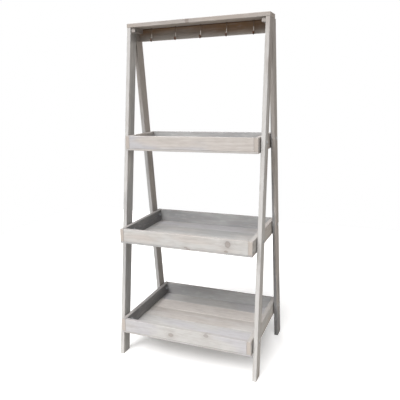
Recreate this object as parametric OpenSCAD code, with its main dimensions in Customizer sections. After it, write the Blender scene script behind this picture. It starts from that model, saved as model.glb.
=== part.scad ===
// Plant ladder stand: two A-shaped side frames of flat timber legs carry three
// rimmed trays that grow deeper towards the floor. A narrow top board ties the
// frames together, with a rail behind it and a row of cup hooks under it.
// Right is +X, the front is -Y and up is +Z. The origin is on the floor, under
// the middle of the stand. Lengths are in millimetres.

/* [Stand] */
// Width over the outer faces of the legs
stand_w = 650; // [500:5:900]
// Height from the floor to the upper face of the top board
stand_h = 1508; // [1350:5:1700]

/* [Legs] */
// Thickness of a leg board, left to right
leg_t = 18; // [15:1:26]
// Width of a leg board, across its broad face
leg_w = 57; // [50:1:70]
// Lean of every leg from the vertical, in degrees
leg_lean = 7.3; // [6:0.1:8.5]
// Height of the vertical joint where a front leg meets a rear leg
apex_joint_h = 40; // [25:1:60]

/* [Top board and cleats] */
// Thickness of the top board
top_t = 18; // [15:1:26]
// How far the top board stands proud of the legs, in front and at the sides
top_lip = 1; // [0:0.5:8]
// Width of a cleat, left to right
cleat_w = 18; // [15:1:26]
// Height of a cleat
cleat_h = 20; // [18:1:30]
// Distance from the front edge of the legs to the front end of a cleat
cleat_setback = 6; // [2:1:8]

/* [Rail and hooks] */
// Height of the rail behind the top board
rail_h = 72; // [60:1:100]
// Thickness of the rail
rail_t = 18; // [15:1:22]
// Distance from a leg to the nearest hook
hook_end = 68; // [45:1:90]
// Distance from the rail to the shank of a hook
hook_to_rail = 12; // [8:1:14]
// Thickness of the hook wire
hook_wire = 3.6; // [3:0.1:5]
// Drop from the top board to the lowest point of a hook
hook_drop = 60; // [45:1:75]
// Radius of the bend of a hook, to the middle of its wire
hook_bend = 7.5; // [6:0.5:10]
// Height of the raised tip of a hook over the centre of its bend
hook_tip_rise = 5; // [3:0.5:10]
// Diameter of the ball on the tip of a hook
hook_ball = 5.4; // [5.2:0.1:7]
// Diameter of the cup that stops a hook against the board
hook_cup_d = 11; // [9:0.5:15]
// Depth of the cup of a hook
hook_cup_h = 2.2; // [1.5:0.1:4]
// Depth of the screwed end of a hook in the top board
hook_bite = 12; // [8:1:13]

/* [Trays] */
// Height of the rim boards of a tray
rim_h = 57; // [45:1:80]
// Thickness of the rim boards of a tray
rim_t = 18; // [14:1:22]
// Thickness of the floor slats
slat_t = 8; // [6:0.5:14]
// Gap between two floor slats
slat_gap = 2; // [1:0.5:6]
// Height of the rim of the top tray above the floor
top_rim_z = 1012; // [930:5:1100]
// Height of the rim of the middle tray above the floor
middle_rim_z = 603; // [500:5:700]
// Height of the rim of the bottom tray above the floor
bottom_rim_z = 180; // [130:2:260]
// How far the top tray reaches in front of the front legs
top_reach = 30; // [15:1:50]
// How far the middle tray reaches in front of the front legs
middle_reach = 63; // [20:1:80]
// How far the bottom tray reaches in front of the front legs
bottom_reach = 29; // [15:1:50]
// How far every tray reaches behind the rear legs
back_reach = 10; // [0:1:20]

/* [Bolts] */
// Diameter of the tray bolts
bolt_d = 6; // [5:0.5:8]
// Diameter of the domed bolt heads
bolt_head_d = 14; // [12:0.5:20]
// Height of the domed bolt heads
bolt_head_h = 3.4; // [2.5:0.1:5]
// Length of thread that shows past a nut
bolt_tail = 3; // [1:0.5:6]
// Drop from the rim of a tray to its bolts
bolt_drop = 23; // [16:1:28]
// Thickness of the spacer between a leg and a tray
spacer_t = 3; // [1.5:0.5:6]
// Diameter of the spacers
spacer_d = 20; // [14:0.5:26]
// Thickness of the washers under the nuts
washer_t = 1.6; // [1:0.1:2.5]
// Diameter of the washers under the nuts
washer_d = 17; // [15:0.5:22]
// Width of a nut across its flats
nut_flats = 10; // [10:0.5:13]
// Height of a nut
nut_h = 5; // [4:0.5:7]

/* [Screws] */
// Diameter of the large countersunk screws
screw_d = 4; // [3.5:0.1:5]
// Head diameter of the large countersunk screws
screw_head_d = 7.6; // [7:0.1:9]
// Depth of the top screws in the legs
top_bite = 30; // [20:1:40]
// Depth of the cleat screws in the legs and in the top board
cleat_bite = 11; // [8:1:12]
// Depth of the rail screws in the top board and in the cleats
rail_bite = 20; // [14:1:22]
// Depth of the rim screws in the ends of the front and back boards
rim_bite = 27; // [20:1:35]
// Diameter of the small slat screws
pin_d = 3; // [2.5:0.1:3.4]
// Head diameter of the small slat screws
pin_head_d = 5.6; // [5.2:0.1:6.4]
// Depth of the slat screws in the rim boards
pin_bite = 14; // [10:1:18]
// Distance from the edges of a slat to its screws, and of a rim board to its screws
edge_margin = 14; // [12:1:18]

/* [Hidden] */
$fn = 48;
// Rounding of the edges of the boards and of the thinner slats, and its number of facets
arris = 2;
slat_arris = 1.2;
arris_steps = 3;
// Clearance on the diameter of every hole around its bolt, screw or hook
hole_fit = 0.4;
// Clearance between a countersunk head and its seat
seat_fit = 0.15;
// Overshoot that makes cuts pass right through
eps = 1;
// Number of hooks, and of floor slats in the top, middle and bottom trays
hook_count = 5;
slat_counts = [3, 4, 5];

// The trays from top to bottom
rim_tops = [top_rim_z, middle_rim_z, bottom_rim_z];
reaches = [top_reach, middle_reach, bottom_reach];

// Side frames
leg_h = stand_h - top_t;
leg_run_w = leg_w / cos(leg_lean);
apex_y = leg_run_w - apex_joint_h * tan(leg_lean);
foot_y = apex_y + leg_h * tan(leg_lean);
inner_x = stand_w / 2 - leg_t;
leg_mid_x = stand_w / 2 - leg_t / 2;

// Distance of the outer edge and of the middle of a leg from the centre plane
function leg_edge_y(z) = foot_y - z * tan(leg_lean);
function leg_mid_y(z) = leg_edge_y(z) - leg_run_w / 2;

// Trays
tray_x = inner_x - spacer_t;
tray_in_x = tray_x - rim_t;
function bolt_z(i) = rim_tops[i] - bolt_drop;
function tray_front(i) = -leg_edge_y(bolt_z(i)) - reaches[i];
function tray_back(i) = leg_edge_y(bolt_z(i)) + back_reach;
function tray_depth(i) = tray_back(i) - tray_front(i);
function rim_bottom(i) = rim_tops[i] - rim_h;
function slat_w(i) = (tray_depth(i) - (slat_counts[i] - 1) * slat_gap) / slat_counts[i];
function slat_y(i, k) = tray_front(i) + k * (slat_w(i) + slat_gap);

// The stand is centred front to back on its own extent
front_most = min(-foot_y, tray_front(0), tray_front(1), tray_front(2));
back_most = max(foot_y, tray_back(0), tray_back(1), tray_back(2));
shift_y = -(front_most + back_most) / 2;

// Top
rail_y = apex_y - rail_t;
rail_l = 2 * inner_x;
cleat_y = -apex_y + cleat_setback;
cleat_l = rail_y - cleat_y;
cleat_x = inner_x - cleat_w / 2;
cleat_z = leg_h - cleat_h;
// The screws that cross in a cleat lie at a third and at two thirds of its height
cleat_low_z = cleat_z + cleat_h / 3;
cleat_high_z = cleat_z + cleat_h * 2 / 3;
// Offset that keeps the cleat screws clear of the top screws in the legs
cleat_screw_shift = 9;

// Hooks
hook_y = rail_y - hook_to_rail;
hook_pitch = (rail_l - 2 * hook_end) / (hook_count - 1);
hook_bend_z = leg_h - hook_drop + hook_wire / 2 + hook_bend;
function hook_x(k) = -inner_x + hook_end + k * hook_pitch;

// Bolts
bolt_grip = leg_t + spacer_t + rim_t + washer_t + nut_h;
dome_r = (bolt_head_d * bolt_head_d / 4 + bolt_head_h * bolt_head_h) / (2 * bolt_head_h);

// ---- shared shapes ------------------------------------------------------

// A rectangle from the origin to [a, b] with its corners rounded in a few facets
module soft_rect(a, b, r) {
    polygon([
        for (quarter = [0 : 3])
            let (centre = [quarter == 0 || quarter == 3 ? a - r : r, quarter < 2 ? b - r : r])
                for (k = [0 : arris_steps])
                    let (angle = 90 * (quarter + k / arris_steps))
                        centre + r * [cos(angle), sin(angle)]
    ]);
}

// A board from the origin to size, with all of its edges rounded
module board(size, r = arris) {
    intersection() {
        linear_extrude(size[2]) soft_rect(size[0], size[1], r);
        translate([0, size[1], 0]) rotate([90, 0, 0])
            linear_extrude(size[1]) soft_rect(size[0], size[2], r);
        rotate([90, 0, 90]) linear_extrude(size[0]) soft_rect(size[1], size[2], r);
    }
}

// Puts a shape that runs along +Z at a place, pointing along another axis
module aim(place, axis) {
    turns = axis == "x" ? [0, 90, 0] : axis == "-x" ? [0, -90, 0]
        : axis == "y" ? [-90, 0, 0] : axis == "-y" ? [90, 0, 0]
        : axis == "-z" ? [180, 0, 0] : [0, 0, 0];
    translate(place) rotate(turns) children();
}

// A countersunk screw with its head flush at the origin and its point at +Z
module screw(d, head_d, length) {
    head_h = (head_d - d) / 2;
    slot = d / 4;
    difference() {
        rotate_extrude() polygon([
            [0, 0], [head_d / 2, 0], [d / 2, head_h], [d / 2, length - d], [0, length]
        ]);
        for (turn = [0, 90]) rotate([0, 0, turn])
            translate([-d / 2, -slot / 2, -eps]) cube([d, slot, eps + head_h * 0.7]);
    }
}

// The hole that takes a countersunk screw
module screw_hole(d, head_d, length) {
    bore = d + hole_fit;
    mouth = head_d + 2 * seat_fit;
    sink = (mouth - bore) / 2;
    union() {
        translate([0, 0, -eps]) cylinder(d = bore, h = length + eps + hole_fit);
        cylinder(d1 = mouth, d2 = bore, h = sink);
        translate([0, 0, -eps]) cylinder(d = mouth, h = eps);
    }
}

// ---- places of the fasteners --------------------------------------------

// The four bolts of tray i, each with its head on the outside of a leg
module at_bolts(i) {
    for (side = [-1, 1], end = [-1, 1])
        aim([side * stand_w / 2, end * leg_mid_y(bolt_z(i)), bolt_z(i)], side > 0 ? "-x" : "x")
            children();
}

// The rim screws of tray i, through the side boards into the front and back
module at_rim_screws(i) {
    for (side = [-1, 1], y = [tray_front(i) + rim_t / 2, tray_back(i) - rim_t / 2],
            z = [rim_bottom(i) + edge_margin, rim_tops[i] - edge_margin])
        aim([side * tray_x, y, z], side > 0 ? "-x" : "x") children();
}

// The screws of slat k of tray i, up into the side boards
module at_slat_screws(i, k) {
    for (side = [-1, 1], y = [slat_y(i, k) + edge_margin + rim_t / 2,
            slat_y(i, k) + slat_w(i) - edge_margin - rim_t / 2])
        aim([side * (tray_x - rim_t / 2), y, rim_bottom(i) - slat_t], "z") children();
}

// The screws from the top board down into the legs
module at_top_screws() {
    for (side = [-1, 1], end = [-1, 1])
        aim([side * leg_mid_x, end * apex_y / 2, stand_h], "-z") children();
}

// The screws from a cleat outwards into the legs
module at_cleat_leg_screws(side) {
    for (end = [-1, 1])
        aim([side * (inner_x - cleat_w), end * apex_y / 2 - cleat_screw_shift, cleat_low_z],
            side > 0 ? "x" : "-x") children();
}

// The screws from a cleat up into the top board
module at_cleat_top_screws(side) {
    for (y = [-apex_y / 2, 0]) aim([side * cleat_x, y, cleat_z], "z") children();
}

// The screws from the rail forwards into the ends of the cleats
module at_rail_cleat_screws() {
    for (side = [-1, 1]) aim([side * cleat_x, apex_y, cleat_high_z], "-y") children();
}

// The screws from the rail forwards into the top board, between the hooks
module at_rail_top_screws() {
    for (k = [0 : hook_count - 2])
        aim([(hook_x(k) + hook_x(k + 1)) / 2, apex_y, stand_h - top_t / 2], "-y") children();
}

// ---- side frames --------------------------------------------------------

// A front leg at x, with its foot on the floor; a rear leg is its mirror image
module leg(side, end) {
    spare = leg_w;
    left_x = side < 0 ? -stand_w / 2 : inner_x;
    mirror([0, end > 0 ? 1 : 0, 0]) intersection() {
        translate([left_x, -foot_y, 0]) rotate([-leg_lean, 0, 0])
            translate([0, 0, -spare]) linear_extrude(leg_h / cos(leg_lean) + 2 * spare)
                soft_rect(leg_t, leg_w, arris);
        translate([left_x - eps, -foot_y - eps, 0]) cube([leg_t + 2 * eps, foot_y + eps, leg_h]);
    }
}

module drilled_leg(side, end) {
    color("lightgray") translate([0, shift_y, 0]) difference() {
        leg(side, end);
        for (i = [0 : 2])
            translate([0, end * leg_mid_y(bolt_z(i)), bolt_z(i)]) rotate([0, 90, 0])
                cylinder(d = bolt_d + hole_fit, h = stand_w + 2 * eps, center = true);
        at_top_screws() screw_hole(screw_d, screw_head_d, top_t + top_bite);
        at_cleat_leg_screws(side) screw_hole(screw_d, screw_head_d, cleat_w + cleat_bite);
    }
}

// ---- top ----------------------------------------------------------------

module top_board() {
    color("lightgray") translate([0, shift_y, 0]) difference() {
        translate([-stand_w / 2 - top_lip, -apex_y - top_lip, leg_h])
            board([stand_w + 2 * top_lip, rail_y + apex_y + top_lip, top_t]);
        at_top_screws() screw_hole(screw_d, screw_head_d, top_t + top_bite);
        for (side = [-1, 1])
            at_cleat_top_screws(side) screw_hole(screw_d, screw_head_d, cleat_h + cleat_bite);
        at_rail_top_screws() screw_hole(screw_d, screw_head_d, rail_t + rail_bite);
        for (k = [0 : hook_count - 1]) translate([hook_x(k), hook_y, leg_h - eps])
            cylinder(d = hook_wire + hole_fit, h = eps + hook_bite + hole_fit);
    }
}

module cleat(side) {
    color("darkgray") translate([0, shift_y, 0]) difference() {
        translate([side * cleat_x - cleat_w / 2, cleat_y, cleat_z])
            board([cleat_w, cleat_l, cleat_h]);
        at_cleat_leg_screws(side) screw_hole(screw_d, screw_head_d, cleat_w + cleat_bite);
        at_cleat_top_screws(side) screw_hole(screw_d, screw_head_d, cleat_h + cleat_bite);
        at_rail_cleat_screws() screw_hole(screw_d, screw_head_d, rail_t + rail_bite);
    }
}

module hook_rail() {
    color("gray") translate([0, shift_y, 0]) difference() {
        translate([-rail_l / 2, rail_y, stand_h - rail_h]) board([rail_l, rail_t, rail_h]);
        at_rail_cleat_screws() screw_hole(screw_d, screw_head_d, rail_t + rail_bite);
        at_rail_top_screws() screw_hole(screw_d, screw_head_d, rail_t + rail_bite);
    }
}

// A cup hook: screwed end, cup, shank, bend towards the front and ball tip
module cup_hook(k) {
    shank_h = leg_h - hook_bend_z;
    color("peru") translate([hook_x(k), shift_y + hook_y, hook_bend_z]) union() {
        cylinder(d = hook_wire, h = shank_h + hook_bite);
        translate([0, 0, shank_h - hook_cup_h])
            cylinder(d1 = hook_wire + hook_cup_h, d2 = hook_cup_d, h = hook_cup_h);
        translate([0, -hook_bend, 0]) rotate([0, 90, 0]) rotate([0, 0, -90])
            rotate_extrude(angle = 180) translate([hook_bend, 0]) circle(d = hook_wire);
        translate([0, -2 * hook_bend, 0]) cylinder(d = hook_wire, h = hook_tip_rise);
        translate([0, -2 * hook_bend, hook_tip_rise]) sphere(d = hook_ball);
    }
}

// ---- trays --------------------------------------------------------------

// The front (end -1) or back (end 1) board of tray i, between its sides
module tray_end(i, end) {
    y = end < 0 ? tray_front(i) : tray_back(i) - rim_t;
    color("gainsboro") translate([0, shift_y, 0]) difference() {
        translate([-tray_in_x, y, rim_bottom(i)]) board([2 * tray_in_x, rim_t, rim_h]);
        at_rim_screws(i) screw_hole(screw_d, screw_head_d, rim_t + rim_bite);
    }
}

// The left (side -1) or right (side 1) board of tray i, over its full depth
module tray_side(i, side) {
    color("gainsboro") translate([0, shift_y, 0]) difference() {
        translate([side > 0 ? tray_in_x : -tray_x, tray_front(i), rim_bottom(i)])
            board([rim_t, tray_depth(i), rim_h]);
        at_rim_screws(i) screw_hole(screw_d, screw_head_d, rim_t + rim_bite);
        for (end = [-1, 1])
            translate([side * tray_x, end * leg_mid_y(bolt_z(i)), bolt_z(i)]) rotate([0, 90, 0])
                cylinder(d = bolt_d + hole_fit, h = 2 * rim_t + 2 * eps, center = true);
        for (k = [0 : slat_counts[i] - 1])
            at_slat_screws(i, k) screw_hole(pin_d, pin_head_d, slat_t + pin_bite);
    }
}

// Floor slat k of tray i, counted from the front, under the rim
module slat(i, k) {
    color("silver") translate([0, shift_y, 0]) difference() {
        translate([-tray_x, slat_y(i, k), rim_bottom(i) - slat_t])
            board([2 * tray_x, slat_w(i), slat_t], slat_arris);
        at_slat_screws(i, k) screw_hole(pin_d, pin_head_d, slat_t + pin_bite);
    }
}

// ---- fasteners ----------------------------------------------------------

// Domed bolts through leg, spacer, tray side, washer and nut
module bolts(i) {
    color("dimgray") translate([0, shift_y, 0]) at_bolts(i) {
        cylinder(d = bolt_d, h = bolt_grip + bolt_tail);
        intersection() {
            translate([0, 0, dome_r - bolt_head_h]) sphere(r = dome_r, $fn = 96);
            translate([0, 0, -bolt_head_h]) cylinder(d = bolt_head_d, h = bolt_head_h);
        }
    }
}

// A ring round every bolt of tray i that starts at a depth from the leg's face
module rings(i, depth, d, thickness) {
    translate([0, shift_y, 0]) at_bolts(i) translate([0, 0, depth]) difference() {
        cylinder(d = d, h = thickness);
        translate([0, 0, -eps]) cylinder(d = bolt_d + hole_fit, h = thickness + 2 * eps);
    }
}

module spacers(i) {
    color("black") rings(i, leg_t, spacer_d, spacer_t);
}

module washers(i) {
    color("silver") rings(i, leg_t + spacer_t + rim_t, washer_d, washer_t);
}

module nuts(i) {
    corner_d = nut_flats / cos(30);
    depth = leg_t + spacer_t + rim_t + washer_t;
    color("silver") translate([0, shift_y, 0]) at_bolts(i) translate([0, 0, depth]) difference() {
        cylinder(d = corner_d, h = nut_h, $fn = 6);
        translate([0, 0, -eps]) cylinder(d = bolt_d + hole_fit, h = nut_h + 2 * eps);
    }
}

module rim_screws(i) {
    color("silver") translate([0, shift_y, 0])
        at_rim_screws(i) screw(screw_d, screw_head_d, rim_t + rim_bite);
}

module slat_screws(i) {
    color("silver") translate([0, shift_y, 0])
        for (k = [0 : slat_counts[i] - 1])
            at_slat_screws(i, k) screw(pin_d, pin_head_d, slat_t + pin_bite);
}

module top_board_screws() {
    color("silver") translate([0, shift_y, 0])
        at_top_screws() screw(screw_d, screw_head_d, top_t + top_bite);
}

module cleat_screws() {
    color("silver") translate([0, shift_y, 0]) for (side = [-1, 1]) {
        at_cleat_leg_screws(side) screw(screw_d, screw_head_d, cleat_w + cleat_bite);
        at_cleat_top_screws(side) screw(screw_d, screw_head_d, cleat_h + cleat_bite);
    }
}

module rail_screws() {
    color("silver") translate([0, shift_y, 0]) {
        at_rail_cleat_screws() screw(screw_d, screw_head_d, rail_t + rail_bite);
        at_rail_top_screws() screw(screw_d, screw_head_d, rail_t + rail_bite);
    }
}

// ---- the stand ----------------------------------------------------------

drilled_leg(-1, -1);  // leg_front_left
drilled_leg(1, -1);  // leg_front_right
drilled_leg(-1, 1);  // leg_rear_left
drilled_leg(1, 1);  // leg_rear_right
top_board();
cleat(-1);  // cleat_left
cleat(1);  // cleat_right
hook_rail();
cup_hook(0);  // hook_1
cup_hook(1);  // hook_2
cup_hook(2);  // hook_3
cup_hook(3);  // hook_4
cup_hook(4);  // hook_5
tray_end(0, -1);  // top_tray_front
tray_end(0, 1);  // top_tray_back
tray_side(0, -1);  // top_tray_left
tray_side(0, 1);  // top_tray_right
slat(0, 0);  // top_slat_1
slat(0, 1);  // top_slat_2
slat(0, 2);  // top_slat_3
tray_end(1, -1);  // middle_tray_front
tray_end(1, 1);  // middle_tray_back
tray_side(1, -1);  // middle_tray_left
tray_side(1, 1);  // middle_tray_right
slat(1, 0);  // middle_slat_1
slat(1, 1);  // middle_slat_2
slat(1, 2);  // middle_slat_3
slat(1, 3);  // middle_slat_4
tray_end(2, -1);  // bottom_tray_front
tray_end(2, 1);  // bottom_tray_back
tray_side(2, -1);  // bottom_tray_left
tray_side(2, 1);  // bottom_tray_right
slat(2, 0);  // bottom_slat_1
slat(2, 1);  // bottom_slat_2
slat(2, 2);  // bottom_slat_3
slat(2, 3);  // bottom_slat_4
slat(2, 4);  // bottom_slat_5
bolts(0);  // top_tray_bolts
bolts(1);  // middle_tray_bolts
bolts(2);  // bottom_tray_bolts
spacers(0);  // top_tray_spacers
spacers(1);  // middle_tray_spacers
spacers(2);  // bottom_tray_spacers
washers(0);  // top_tray_washers
washers(1);  // middle_tray_washers
washers(2);  // bottom_tray_washers
nuts(0);  // top_tray_nuts
nuts(1);  // middle_tray_nuts
nuts(2);  // bottom_tray_nuts
rim_screws(0);  // top_rim_screws
rim_screws(1);  // middle_rim_screws
rim_screws(2);  // bottom_rim_screws
slat_screws(0);  // top_slat_screws
slat_screws(1);  // middle_slat_screws
slat_screws(2);  // bottom_slat_screws
top_board_screws();
cleat_screws();
rail_screws();
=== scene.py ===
import math
import random

import bpy
from mathutils import Matrix, Vector


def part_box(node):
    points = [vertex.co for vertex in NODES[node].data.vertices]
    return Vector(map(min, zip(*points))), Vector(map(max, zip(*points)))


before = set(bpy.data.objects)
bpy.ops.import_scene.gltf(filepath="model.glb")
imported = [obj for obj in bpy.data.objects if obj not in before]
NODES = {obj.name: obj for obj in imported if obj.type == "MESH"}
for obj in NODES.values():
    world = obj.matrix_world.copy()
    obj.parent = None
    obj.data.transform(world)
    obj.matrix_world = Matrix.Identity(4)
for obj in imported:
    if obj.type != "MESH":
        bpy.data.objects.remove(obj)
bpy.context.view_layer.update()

SCENE = bpy.context.scene


def srgb(red, green, blue):
    """A colour from its 0 to 255 screen values, as the linear colour that shaders take."""
    linear = [
        c / 12.92 if c <= 0.04045 else ((c + 0.055) / 1.055) ** 2.4
        for c in (red / 255, green / 255, blue / 255)
    ]
    return (*linear, 1.0)


# ---- camera -----------------------------------------------------------------

# The camera as fitted to the photo. Its lens and sensor are in millimetres, and its shift is in
# widths of the picture.
CAMERA_PLACE = (0.7852, -2.0619, 1.1978)
CAMERA_AZIMUTH = math.radians(23.785)
CAMERA_TILT = math.radians(-10.363)
CAMERA_ROLL = math.radians(-1.408)
CAMERA_LENS = 43.93
CAMERA_SENSOR = 36.0
CAMERA_SHIFT = (0.06, -0.045)


def make_camera():
    data = bpy.data.cameras.new("camera")
    data.sensor_width = CAMERA_SENSOR
    data.lens = CAMERA_LENS
    data.shift_x, data.shift_y = CAMERA_SHIFT
    camera = bpy.data.objects.new("camera", data)
    SCENE.collection.objects.link(camera)
    camera.matrix_world = (
        Matrix.Translation(CAMERA_PLACE)
        @ Matrix.Rotation(CAMERA_AZIMUTH, 4, "Z")
        @ Matrix.Rotation(math.pi / 2 + CAMERA_TILT, 4, "X")
        @ Matrix.Rotation(CAMERA_ROLL, 4, "Z")
    )
    SCENE.camera = camera


# ---- studio -----------------------------------------------------------------

# Name, azimuth and elevation of where a light stands, its softness, strength and colour. The
# angles are in degrees, and azimuth goes from the front towards the right side.
DAYLIGHT = (0.997, 0.995, 1.0)
SUNS = [
    ("key_light", -3, 55, 48, 3.2, DAYLIGHT),
    ("low_light", -14, 34, 32, 1.75, DAYLIGHT),
    ("side_light", 118, 2, 8, 0.70, (1.0, 0.95, 0.89)),
    ("back_light", 207, 8, 24, 1.9, (1.0, 0.99, 0.98)),
]
AMBIENT_COLOUR = (0.108, 0.103, 0.098, 1.0)

# Half the side of the paper on the floor, its colour to the camera, and its colour in what it
# throws back. Its glow, which only the camera sees, grows from the first of two strengths to the
# second between two distances from the middle. Depth counts GLOW_OVAL times as much in them.
FLOOR_REACH = 2.3
FLOOR_SEEN = (0.85, 0.845, 0.84, 1.0)
FLOOR_CAST = (0.53, 0.51, 0.475, 1.0)
FLOOR_GLOW = (0.105, 0.41)
GLOW_REACH = (0.09, 0.56)
GLOW_OVAL = 1.3


def make_lights():
    for name, azimuth, elevation, softness, strength, colour in SUNS:
        data = bpy.data.lights.new(name, "SUN")
        data.angle = math.radians(softness)
        data.energy = strength
        data.color = colour
        light = bpy.data.objects.new(name, data)
        SCENE.collection.objects.link(light)
        turn, tip = math.radians(azimuth), math.radians(elevation)
        level = math.cos(tip)
        towards = Vector((math.sin(turn) * level, -math.cos(turn) * level, math.sin(tip)))
        light.rotation_euler = towards.to_track_quat("Z", "Y").to_euler()


def make_world():
    """White to look at and in reflections, with a much weaker all-round light on matt surfaces."""
    world = bpy.data.worlds.new("studio")
    world.use_nodes = True
    SCENE.world = world
    tree = world.node_tree
    tree.nodes.clear()
    seen = tree.nodes.new("ShaderNodeBackground")
    seen.inputs["Color"].default_value = (1, 1, 1, 1)
    cast = tree.nodes.new("ShaderNodeBackground")
    cast.inputs["Color"].default_value = AMBIENT_COLOUR
    path = tree.nodes.new("ShaderNodeLightPath")
    mix = tree.nodes.new("ShaderNodeMixShader")
    out = tree.nodes.new("ShaderNodeOutputWorld")
    tree.links.new(path.outputs["Is Diffuse Ray"], mix.inputs[0])
    tree.links.new(seen.outputs[0], mix.inputs[1])
    tree.links.new(cast.outputs[0], mix.inputs[2])
    tree.links.new(mix.outputs[0], out.inputs[0])


def make_floor():
    """A sheet of white paper. It looks brighter than what it throws back at the object, and the
    shadow on it fades out away from the object's middle."""
    mesh = bpy.data.meshes.new("floor")
    r = FLOOR_REACH
    mesh.from_pydata([(-r, -r, 0), (r, -r, 0), (r, r, 0), (-r, r, 0)], [], [(0, 1, 2, 3)])
    floor = bpy.data.objects.new("floor", mesh)
    SCENE.collection.objects.link(floor)
    paper = Shader("floor")
    seen = paper.surface
    seen.inputs["Base Color"].default_value = FLOOR_SEEN
    seen.inputs["Roughness"].default_value = 0.9
    seen.inputs["Specular IOR Level"].default_value = 0.1
    seen.inputs["Emission Color"].default_value = (1, 1, 1, 1)
    away = paper.vector("LENGTH", paper.vector("MULTIPLY", paper.place, (1, GLOW_OVAL, 0)))
    paper.feed(seen.inputs["Emission Strength"], paper.rise(away, *GLOW_REACH, *FLOOR_GLOW))
    cast = paper.add("ShaderNodeBsdfDiffuse")
    cast.inputs["Color"].default_value = FLOOR_CAST
    mix = paper.add("ShaderNodeMixShader")
    paper.feed(mix.inputs[0], paper.add("ShaderNodeLightPath").outputs["Is Camera Ray"])
    paper.feed(mix.inputs[1], cast.outputs[0])
    paper.feed(mix.inputs[2], seen.outputs[0])
    paper.feed(paper.out.inputs[0], mix.outputs[0])
    mesh.materials.append(paper.material)


# ---- shader nodes -----------------------------------------------------------

# Most values of a noise lie in this range
NOISE_RANGE = (0.3, 0.7)

# Cosines of the angles to a direction at which a face starts to count as facing it and fully does
FACING = (0.5, 0.9)


class Shader:
    """A material under construction, with short ways to add nodes and join them. Its place is a
    point of the object, and its normal is which way the surface faces there."""

    def __init__(self, name):
        self.material = bpy.data.materials.new(name)
        self.material.use_nodes = True
        self.tree = self.material.node_tree
        self.tree.nodes.clear()
        self.surface = self.add("ShaderNodeBsdfPrincipled")
        self.out = self.add("ShaderNodeOutputMaterial")
        self.tree.links.new(self.surface.outputs[0], self.out.inputs[0])
        coordinates = self.add("ShaderNodeTexCoord")
        self.place = coordinates.outputs["Object"]
        self.normal = coordinates.outputs["Normal"]

    def add(self, kind, **settings):
        node = self.tree.nodes.new(kind)
        for key, value in settings.items():
            setattr(node, key, value)
        return node

    def feed(self, socket, value):
        """Joins a socket to an output, or sets its constant."""
        if isinstance(value, bpy.types.NodeSocket):
            self.tree.links.new(value, socket)
        else:
            socket.default_value = value

    def calc(self, operation, *values):
        node = self.add("ShaderNodeMath", operation=operation)
        for socket, value in zip(node.inputs, values):
            self.feed(socket, value)
        return node.outputs[0]

    def vector(self, operation, *values):
        node = self.add("ShaderNodeVectorMath", operation=operation)
        for socket, value in zip(node.inputs, values):
            self.feed(socket, value)
        return node.outputs["Value" if operation in ("LENGTH", "DOT_PRODUCT") else "Vector"]

    def rise(self, value, low, high, start=0.0, end=1.0):
        """Goes smoothly from start to end while the value goes from low to high."""
        node = self.add("ShaderNodeMapRange", interpolation_type="SMOOTHSTEP")
        keys = ("Value", "From Min", "From Max", "To Min", "To Max")
        for key, amount in zip(keys, (value, low, high, start, end)):
            self.feed(node.inputs[key], amount)
        return node.outputs["Result"]

    def cover(self, value, none, full, most=1.0):
        """Grows from nothing to the most while the value goes from none to full."""
        return self.rise(value, none, full, 0.0, most)

    def faces(self, direction, most=1.0):
        """Covers the faces that look in a direction."""
        return self.cover(self.vector("DOT_PRODUCT", self.normal, direction), *FACING, most)

    def mix(self, factor, first, second):
        """Mixes colours, which have sockets of their own behind those for numbers and vectors."""
        node = self.add("ShaderNodeMix", data_type="RGBA")
        self.feed(node.inputs[0], factor)
        self.feed(node.inputs[6], first)
        self.feed(node.inputs[7], second)
        return node.outputs[2]

    def noise(self, point, scale, detail=2.0, roughness=0.5):
        node = self.add("ShaderNodeTexNoise", noise_dimensions="3D")
        self.feed(node.inputs["Vector"], point)
        for key, amount in (("Scale", scale), ("Detail", detail), ("Roughness", roughness)):
            self.feed(node.inputs[key], amount)
        return node.outputs[0]

    def bump(self, height, depth, strength):
        node = self.add("ShaderNodeBump")
        node.inputs["Strength"].default_value = strength
        node.inputs["Distance"].default_value = depth
        self.feed(node.inputs["Height"], height)
        self.feed(self.surface.inputs["Normal"], node.outputs[0])


# ---- timber: what differs from board to board -------------------------------

PALE = srgb(190, 189, 187)
BEIGE = srgb(189, 183, 178)
LILAC = srgb(183, 182, 185)
GREY = srgb(176, 174, 172)
PAINTED_LIGHT_GREY = srgb(182, 182, 182)
STONE = srgb(168, 162, 157)
TAN = srgb(171, 162, 154)
DARK_GREY = srgb(146, 143, 140)
COOL_GREY = srgb(164, 165, 165)
POT_SHADOW_GREY = srgb(146, 147, 148)
SHADE_SLATE = srgb(126, 127, 129)
WARM_SHADE_BROWN = srgb(163, 130, 101)
LATE_WOOD = srgb(150, 142, 137)
KNOT = srgb(118, 104, 94)
BARK = srgb(84, 72, 64)
CONTACT_SHADE_BROWN = srgb(66, 48, 36)
END_WOOD = srgb(181, 173, 166)
WORN_WOOD = srgb(202, 199, 196)
PAINTED_LIGHT_CREAM = srgb(216, 210, 205)
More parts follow.
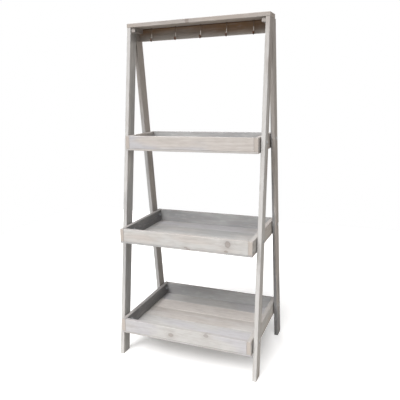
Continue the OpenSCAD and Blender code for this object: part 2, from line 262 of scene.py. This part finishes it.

# The two washes that mix on each board. The first entry that is part of a node's name counts.
# share is how much of the second wash there is, mottle how much that varies in clouds, ends how
# much it grows for each metre from the middle to the ends, and drift for each metre along, across
# and out of the board. front is a colour of painted light that fades in on faces to the front,
# contact_shade is how dark painted shade makes the outward face along its top edge, and end_wood
# is the colour of end grain.
WASHES = {
    "top_board": {"washes": (TAN, STONE)},
    "cleat": {"washes": (STONE, GREY), "end_wood": STONE},
    # The rail's brown is painted shade of the top board, warm, on its front face and growing towards
    # its top. That face also has painted shade along its top edge.
    "hook_rail": {
        "washes": (BEIGE, WARM_SHADE_BROWN), "share": -0.52, "mottle": 0.3, "drift": (0, 4.4, 120), "contact_shade": 0.6
    },
    "leg_front_left": {"washes": (COOL_GREY, PALE), "share": 0.42, "drift": (0.3, -8, 0)},
    "leg_front_right": {"washes": (PALE, STONE), "share": 0.22, "ends": 0.5, "drift": (0.1, 7, 0)},
    # Painted light: a lighter grey on its front face, fading out higher up where the legs shade each
    # other.
    "leg_rear_left": {"washes": (STONE, DARK_GREY), "drift": (-0.3, 0, 0), "front": PAINTED_LIGHT_GREY},
    # Painted shade: darker towards the bottom, under the trays, and on its inner face.
    "leg_rear_right": {"washes": (STONE, SHADE_SLATE), "drift": (-0.35, 0, 15)},
    "bottom_slat_1": {"washes": (LILAC, GREY)},
    # Lighter washes on slats 3 and 4: painted light where the rims and the tray above shade them.
    "bottom_slat_3": {"washes": (BEIGE, WORN_WOOD)},
    "bottom_slat_4": {"washes": (PAINTED_LIGHT_CREAM, WORN_WOOD), "share": 0.3},
    "bottom_slat": {"washes": (LILAC, PALE)},
    "middle_slat_4": {"washes": (GREY, LILAC)},
    "middle_slat": {"washes": (COOL_GREY, GREY)},
    "top_slat": {"washes": (GREY, BEIGE)},
    "bottom_tray_front": {"washes": (PALE, LILAC), "share": 0.33, "ends": 0.7},
    "middle_tray_front": {"washes": (BEIGE, PALE), "share": 0.4, "ends": 0.5},
    "top_tray_front": {"washes": (BEIGE, LILAC), "share": 0.4, "ends": 0.3, "drift": (-0.4, 0, 0)},
    # The left rims are darker on their inner faces and towards their rear ends: painted shade inside
    # the trays.
    "bottom_tray_left": {"washes": (GREY, SHADE_SLATE), "share": 0.52, "drift": (0.3, 0, 22)},
    "middle_tray_left": {"washes": (GREY, SHADE_SLATE), "share": 0.5, "drift": (0.3, 0, 22)},
    # Darker than the other rims: painted shade from the front right leg.
    "top_tray_right": {"washes": (STONE, GREY)},
    # The backs are darker: painted shadow of the plant pots that stand in the trays.
    "tray_back": {"washes": (COOL_GREY, POT_SHADOW_GREY)},
    "": {"washes": (BEIGE, PALE)},
}

# Where the painted light on faces to the front starts and is full, along the board, and where the
# painted shade along the top edge starts and is full, across it, all from the board's middle. Then
# how much painted shade darkens the top faces of the trays' rims.
FRONT_FADE = (0.5, 0.2)
CONTACT_SHADE_FADE = (0.0125, 0.0165)
RIM_TOP_SHADE = 0.35

# Knots of some boards: place along the grain and across it from the board's middle, half width
# across the grain, and how many times as long as wide
KNOTS = {
    "top_board": [(-0.034, -0.050, 0.009, 1.4)],
    "middle_tray_front": [
        (0.200, 0.008, 0.015, 0.85), (0.193, -0.024, 0.006, 1.4), (0.014, -0.027, 0.006, 1.4)
    ],
    "middle_slat_1": [(0.026, -0.044, 0.009, 1.4)],
    "bottom_tray_front": [(-0.058, -0.006, 0.009, 1.4), (0.107, 0.021, 0.008, 1.4)],
}


# ---- timber: what all boards share ------------------------------------------

# The legs' lean and width, as in part.scad. Their boxes in the frame don't tell these.
LEG_LEAN = math.radians(7.3)
LEG_WIDTH = 0.057

# How far the noises of one board are shifted from those of another at most, and the noises: how
# dense along, across and through a board, with detail and roughness
OWN_SHIFT = 9
SWAY = ((1.8, 9, 9), 3.0, 0.5)
ZONES = ((3.4, 13, 13), 2.0, 0.5)
PATCHES = ((24, 75, 75), 2.0, 0.5)
WISPS = ((11, 150, 150), 3.0, 0.55)
FIBRES = ((45, 900, 900), 2.0, 0.6)

# Covers: at which value of a noise, a direction or a distance there is nothing, at which there is
# the most, and how much that is where it isn't all
SECOND_WASH = (0.40, 0.60)
DARK_PATCHES = (0.46, 0.68, 0.18)
PALE_PATCHES = (0.48, 0.30, 0.18)
DARK_WISPS = (0.42, 0.72, 0.20)
PALE_WISPS = (0.46, 0.28, 0.18)
DARK_FIBRES = (0.5, 0.75, 0.10)
ENDS = (0.6, 0.85)
EDGES = (-0.001, 0.0015, 0.2)

# How far the wear of edges wobbles, and how much late wood shows in the wash and in end grain
EDGE_WOBBLE = 0.003
LATE_IN_WASH = 0.13
LATE_IN_ENDS = 0.35

# Growth rings: how far the pith lies across the board at most, as a share of half its width, how
# far out of the board's middle, and how much askew at most, in radians. Then how far apart the
# rings are, how far sway and knots push them, and where in a ring the late wood grows and stops.
PITH_ACROSS = 0.6
PITH_AWAY = (0.012, 0.045)
PITH_SKEW = 0.015
RING_GAP = (0.0026, 0.0042)
SWAY_PUSH = 0.009
KNOT_PUSH = 0.006
LATE_GROWS = (0.3, 0.9)
LATE_STOPS = (1.0, 0.93)

# Knots, with distances in times their own radius: how ragged they are, their rings, and where the
# core, the bark on both sides of its middle line, and the grain pushed aside start and are full.
# Then how much each of them covers.
RAGGED_NOISE = 160.0
RAGGED = 0.5
KNOT_RINGS = 22.0
KNOT_RING_DEPTH = 0.2
CORE = (1.05, 0.6)
BARK_LINE = 0.85
BARK_FADE = (0.24, 0.02)
HALO = (3.6, 0.8)
KNOT_COVER = 0.5
BARK_COVER = 0.28
HALO_COVER = 0.22

# The surface: roughness from its least to its most, relief and the depth and strength of its bump
WOOD_ROUGHNESS = (0.66, 0.8)
LATE_RELIEF = 0.5
FIBRE_RELIEF = 0.6
KNOT_RELIEF = -0.4
WOOD_BUMP = (0.0004, 0.5)


def board_axes(name):
    """Middle, grain, width and thickness directions, and half sizes of a board."""
    low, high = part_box(name)
    size = high - low
    thick, wide, long = sorted(range(3), key=lambda axis: size[axis])
    directions = [Vector([float(axis == k) for k in range(3)]) for axis in (long, wide, thick)]
    half = [size[axis] / 2 for axis in (long, wide, thick)]
    if name.startswith("leg_"):
        lean = LEG_LEAN if "front" in name else -LEG_LEAN
        directions[0] = Vector((0, math.sin(lean), math.cos(lean)))
        directions[1] = Vector((0, math.cos(lean), -math.sin(lean)))
        # Taken too long, so that the edges at a leg's sloping ends don't wear
        half = [size.z, LEG_WIDTH / 2, size.x / 2]
    directions[2] = directions[0].cross(directions[1])
    return (low + high) / 2, directions, half


class Board(Shader):
    """The shader of one board. Its point is measured from the board's middle along the grain,
    across it and out of the board, and own is the same with a shift of the board's own."""

    def __init__(self, name):
        super().__init__("timber_" + name)
        self.luck = random.Random(name)
        middle, directions, self.half = board_axes(name)
        self.grain, _, self.depth = directions
        mapping = self.add("ShaderNodeMapping", vector_type="TEXTURE")
        mapping.inputs["Location"].default_value = middle
        mapping.inputs["Rotation"].default_value = Matrix(directions).transposed().to_euler()
        self.feed(mapping.inputs["Vector"], self.place)
        self.point = mapping.outputs[0]
        shift = [self.luck.uniform(-OWN_SHIFT, OWN_SHIFT) for _ in range(3)]
        self.own = self.vector("ADD", self.point, shift)

    def grain_noise(self, stretch, detail, roughness):
        return self.noise(self.vector("MULTIPLY", self.own, stretch), 1.0, detail, roughness)

    def knots(self, places):
        """The knots themselves, ringed, the bark round them, and the grain that they push aside."""
        knot, bark, halo = 0.0, 0.0, 0.0
        for along, across, radius, stretch in places:
            away = self.vector("SUBTRACT", self.point, (along, across, 0))
            oval = self.vector("MULTIPLY", away, (1 / (radius * stretch), 1 / radius, 0))
            reach = self.vector("LENGTH", oval)
            ragged = self.calc("SUBTRACT", reach, RAGGED / 2)
            ragged = self.calc("MULTIPLY_ADD", self.noise(self.own, RAGGED_NOISE), RAGGED, ragged)
            rings = self.calc("SINE", self.calc("MULTIPLY", ragged, KNOT_RINGS))
            rings = self.calc("MULTIPLY_ADD", rings, KNOT_RING_DEPTH, 1 - KNOT_RING_DEPTH)
            core = self.calc("MULTIPLY", self.cover(ragged, *CORE), rings)
            from_bark = self.calc("ABSOLUTE", self.calc("SUBTRACT", ragged, BARK_LINE))
            knot = self.calc("MAXIMUM", knot, core)
            bark = self.calc("MAXIMUM", bark, self.cover(from_bark, *BARK_FADE))
            halo = self.calc("MAXIMUM", halo, self.cover(reach, *HALO))
        return knot, bark, halo

    def late_wood(self, halo):
        """The dark part of growth rings round a pith that lies beside the board, a bit askew."""
        luck = self.luck
        across = luck.uniform(-PITH_ACROSS, PITH_ACROSS) * self.half[1]
        pith = (0, across, luck.choice((-1, 1)) * luck.uniform(*PITH_AWAY))
        ring_gap = luck.uniform(*RING_GAP)
        skew = self.add("ShaderNodeVectorRotate", rotation_type="Y_AXIS")
        self.feed(skew.inputs["Vector"], self.vector("SUBTRACT", self.point, pith))
        skew.inputs["Angle"].default_value = luck.uniform(-PITH_SKEW, PITH_SKEW)
        radius = self.vector("LENGTH", self.vector("MULTIPLY", skew.outputs[0], (0, 1, 1)))
        radius = self.calc("MULTIPLY_ADD", self.grain_noise(*SWAY), SWAY_PUSH, radius)
        radius = self.calc("MULTIPLY_ADD", halo, KNOT_PUSH, radius)
        phase = self.calc("FRACT", self.calc("DIVIDE", radius, ring_gap))
        return self.calc("MULTIPLY", self.cover(phase, *LATE_GROWS), self.cover(phase, *LATE_STOPS))

    def second_wash(self, zones, share, mottle, ends, drift):
        """How much of the second wash there is at a point."""
        spread = self.calc("MULTIPLY_ADD", zones, mottle, share - mottle / 2)
        spread = self.calc("ADD", spread, self.vector("DOT_PRODUCT", self.point, drift))
        from_middle = self.vector("ABSOLUTE", self.point)
        at_ends = self.vector("DOT_PRODUCT", from_middle, (ends, 0, 0))
        return self.cover(self.calc("ADD", spread, at_ends), *SECOND_WASH)

    def edges(self, wisps):
        """The edges between the board's faces, a little uneven. A point is about as far from the
        nearest edge as from the second nearest face."""
        inside = self.vector("SUBTRACT", self.half, self.vector("ABSOLUTE", self.point))
        depths = self.add("ShaderNodeSeparateXYZ")
        self.feed(depths.inputs[0], inside)
        a, b, c = depths.outputs
        least, other = self.calc("MINIMUM", a, b), self.calc("MAXIMUM", a, b)
        away = self.calc("MAXIMUM", least, self.calc("MINIMUM", other, c))
        near = self.calc("MULTIPLY_ADD", wisps, EDGE_WOBBLE, self.calc("MULTIPLY", away, -1.0))
        return self.cover(near, *EDGES)


def timber(
    name, washes, end_wood=END_WOOD, share=0.5, mottle=1.0, ends=0.0, drift=(0, 0, 0), front=None,
    contact_shade=0.0
):
    """Grey-washed softwood that is sawn through in three dimensions: growth rings, wisps along
    the grain, knots, worn edges and warmer end grain."""
    board = Board(name)
    knot, bark, halo = board.knots(KNOTS.get(name, ()))
    late = board.late_wood(halo)
    zones, patches = board.grain_noise(*ZONES), board.grain_noise(*PATCHES)
    wisps, fibres = board.grain_noise(*WISPS), board.grain_noise(*FIBRES)
    colour = board.mix(board.second_wash(zones, share, mottle, ends, drift), *washes)
    # Painted light on faces to the front, fading out towards the upper end
    if front:
        upper = board.cover(board.vector("DOT_PRODUCT", board.point, (1, 0, 0)), *FRONT_FADE)
        colour = board.mix(board.calc("MULTIPLY", board.faces((0, -1, 0)), upper), colour, front)

    # What lies over the wash, from the bottom up
    facing_end = board.calc("ABSOLUTE", board.vector("DOT_PRODUCT", board.normal, board.grain))
    end_grain = board.mix(board.calc("MULTIPLY", late, LATE_IN_ENDS), end_wood, LATE_WOOD)
    layers = [
        (board.cover(patches, *DARK_PATCHES), LATE_WOOD),
        (board.cover(patches, *PALE_PATCHES), WORN_WOOD),
        (board.cover(wisps, *DARK_WISPS), LATE_WOOD),
        (board.cover(wisps, *PALE_WISPS), WORN_WOOD),
        (board.calc("MULTIPLY", late, LATE_IN_WASH), LATE_WOOD),
        (board.cover(fibres, *DARK_FIBRES), LATE_WOOD),
        (board.cover(facing_end, *ENDS), end_grain),
        (board.edges(wisps), LATE_WOOD if "slat" in name else WORN_WOOD),
    ]
    # Painted shade that darkens the top faces of the trays' rims
    if "_tray_" in name:
        layers.append((board.faces((0, 0, 1), RIM_TOP_SHADE), LATE_WOOD))
    # Painted contact shade along the top edge of the outward face, under the board above it
    if contact_shade:
        across = board.vector("DOT_PRODUCT", board.point, (0, 1, 0))
        contact_shade_mask = board.calc(
            "MULTIPLY", board.faces(board.depth, contact_shade), board.cover(across, *CONTACT_SHADE_FADE)
        )
        layers.append((contact_shade_mask, CONTACT_SHADE_BROWN))
    if name in KNOTS:
        layers.append((board.calc("MULTIPLY", halo, HALO_COVER), LATE_WOOD))
        layers.append((board.calc("MULTIPLY", knot, KNOT_COVER), KNOT))
        layers.append((board.calc("MULTIPLY", bark, BARK_COVER), BARK))
    for cover, shade in layers:
        colour = board.mix(cover, colour, shade)
    board.feed(board.surface.inputs["Base Color"], colour)

    roughness = board.rise(zones, *NOISE_RANGE, *WOOD_ROUGHNESS)
    board.feed(board.surface.inputs["Roughness"], roughness)
    board.surface.inputs["Specular IOR Level"].default_value = 0.2
    relief = board.calc("MULTIPLY", fibres, FIBRE_RELIEF)
    relief = board.calc("MULTIPLY_ADD", late, LATE_RELIEF, relief)
    relief = board.calc("MULTIPLY_ADD", knot, KNOT_RELIEF, relief)
    board.bump(relief, *WOOD_BUMP)
    return board.material


# ---- metal and plastic ------------------------------------------------------

BRASS = srgb(108, 70, 49)
BRASS_TARNISH = srgb(66, 43, 31)
BRASS_PAINTED_HIGHLIGHT = srgb(196, 190, 183)
BRASS_PAINTED_SHADE = srgb(118, 104, 92)
ZINC = srgb(158, 160, 163)
ZINC_TARNISH = srgb(122, 123, 126)
BRIGHT_ZINC = srgb(226, 228, 231)
BRIGHT_ZINC_TARNISH = srgb(176, 178, 182)
BLACK = srgb(34, 34, 35)

# How dense the noise is in the tarnish of hooks and of fasteners, and in plastic. Then the detail
# and roughness of tarnish, and which values of its noise show none of it and which the most.
HOOK_CLOUDS = 300.0
FASTENER_CLOUDS = 400.0
GRIT = 900.0
CLOUD_LOOK = (3.0, 0.6)
TARNISH = (0.35, 0.7)

# How much the roughness grows where a surface is uneven, the depth and strength of bumps, and how
# many times as dense as the tarnish they are
METAL_UNEVEN = 0.2
PLASTIC_UNEVEN = 0.15
METAL_BUMP = (0.00005, 0.4)
PLASTIC_BUMP = (0.00005, 0.3)
METAL_BUMP_DENSER = 6

# Shares of a hook's height between which a highlight is painted on, and how far that fades
HOOK_HIGHLIGHT = (0.22, 0.47)
HIGHLIGHT_FADE = 0.005


def metal(name, shades, clouds, roughness, highlight=None, shade_above=None, band=(0.0, 0.0)):
    """Metal of one colour with clouds of another, its tarnish. It can have a painted highlight
    between two heights, and painted shade above them."""
    paint = Shader(name)
    cloud = paint.noise(paint.place, clouds, *CLOUD_LOOK)
    shade = paint.mix(paint.cover(cloud, *TARNISH), *shades)
    # A painted highlight in a band of heights, and painted shade above it
    if highlight:
        place = paint.add("ShaderNodeSeparateXYZ")
        paint.feed(place.inputs[0], paint.place)
        height, (low, high) = place.outputs[2], band
        above_low = paint.cover(height, low - HIGHLIGHT_FADE, low + HIGHLIGHT_FADE)
        below_high = paint.cover(height, high + HIGHLIGHT_FADE, high - HIGHLIGHT_FADE)
        above_high = paint.cover(height, high - HIGHLIGHT_FADE, high + HIGHLIGHT_FADE)
        shade = paint.mix(above_high, shade, shade_above)
        shade = paint.mix(paint.calc("MULTIPLY", above_low, below_high), shade, highlight)
    paint.feed(paint.surface.inputs["Base Color"], shade)
    uneven = paint.rise(cloud, *NOISE_RANGE, roughness, roughness + METAL_UNEVEN)
    paint.feed(paint.surface.inputs["Roughness"], uneven)
    paint.surface.inputs["Metallic"].default_value = 1.0
    paint.bump(paint.noise(paint.place, clouds * METAL_BUMP_DENSER), *METAL_BUMP)
    return paint.material


def plastic(name, colour, roughness):
    paint = Shader(name)
    grit = paint.noise(paint.place, GRIT)
    paint.surface.inputs["Base Color"].default_value = colour
    uneven = paint.rise(grit, *NOISE_RANGE, roughness, roughness + PLASTIC_UNEVEN)
    paint.feed(paint.surface.inputs["Roughness"], uneven)
    paint.bump(grit, *PLASTIC_BUMP)
    return paint.material


def hook_brass():
    """Bronzed brass with a painted highlight in a band below the middle of each hook, and painted
    shade above it.
    """
    low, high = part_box("hook_1")
    band = [low.z + share * (high.z - low.z) for share in HOOK_HIGHLIGHT]
    return metal(
        "bronzed_brass", (BRASS, BRASS_TARNISH), HOOK_CLOUDS, roughness=0.3,
        highlight=BRASS_PAINTED_HIGHLIGHT, shade_above=BRASS_PAINTED_SHADE, band=band
    )


# ---- the stand --------------------------------------------------------------


def dress():
    hooks = hook_brass()
    zinc = metal("zinc", (ZINC, ZINC_TARNISH), FASTENER_CLOUDS, roughness=0.36)
    shiny = (BRIGHT_ZINC, BRIGHT_ZINC_TARNISH)
    bright_zinc = metal("bright_zinc", shiny, FASTENER_CLOUDS, roughness=0.16)
    black = plastic("black_plastic", BLACK, roughness=0.45)
    for name, node in NODES.items():
        if "spacers" in name:
            finish = black
        elif "nuts" in name:
            finish = bright_zinc
        elif any(word in name for word in ("bolts", "washers", "screws")):
            finish = zinc
        elif name.startswith("hook_") and name != "hook_rail":
            finish = hooks
        else:
            wash = next(mix for word, mix in WASHES.items() if word in name)
            finish = timber(name, **wash)
        for slot in node.material_slots:
            slot.material = finish


make_camera()
make_world()
make_lights()
dress()
make_floor()
SCENE.view_settings.view_transform = "Standard"
